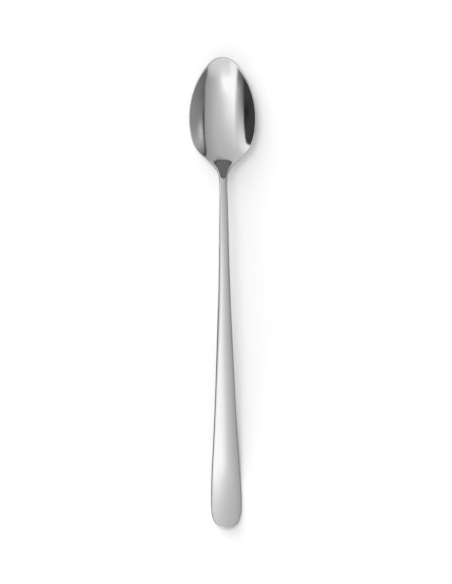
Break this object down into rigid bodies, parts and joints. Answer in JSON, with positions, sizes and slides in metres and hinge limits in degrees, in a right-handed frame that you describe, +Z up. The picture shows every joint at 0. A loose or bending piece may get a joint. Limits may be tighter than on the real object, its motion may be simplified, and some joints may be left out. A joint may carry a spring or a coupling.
{
  "type": "iced tea spoon",
  "caption": "Long-handled iced tea spoon with an egg-shaped bowl, a slender neck and an arched handle that widens to a rounded, slightly upturned end.",
  "frame": {"origin": "on the table under the centre of the spoon's bounding box, with the spoon lying face up", "axes": "+Y along the spoon towards the tip of the bowl, +X across it, +Z up out of the hollow"},
  "size_m": [0.0278, 0.195, 0.0185],
  "materials": {
    "polished_steel": "mirror-polished stainless steel with fine wipe scratches"
  },
  "bodies": {
    "root": {"bowl": "polished_steel", "neck": "polished_steel", "handle": "polished_steel"}
  },
  "joints": []
}
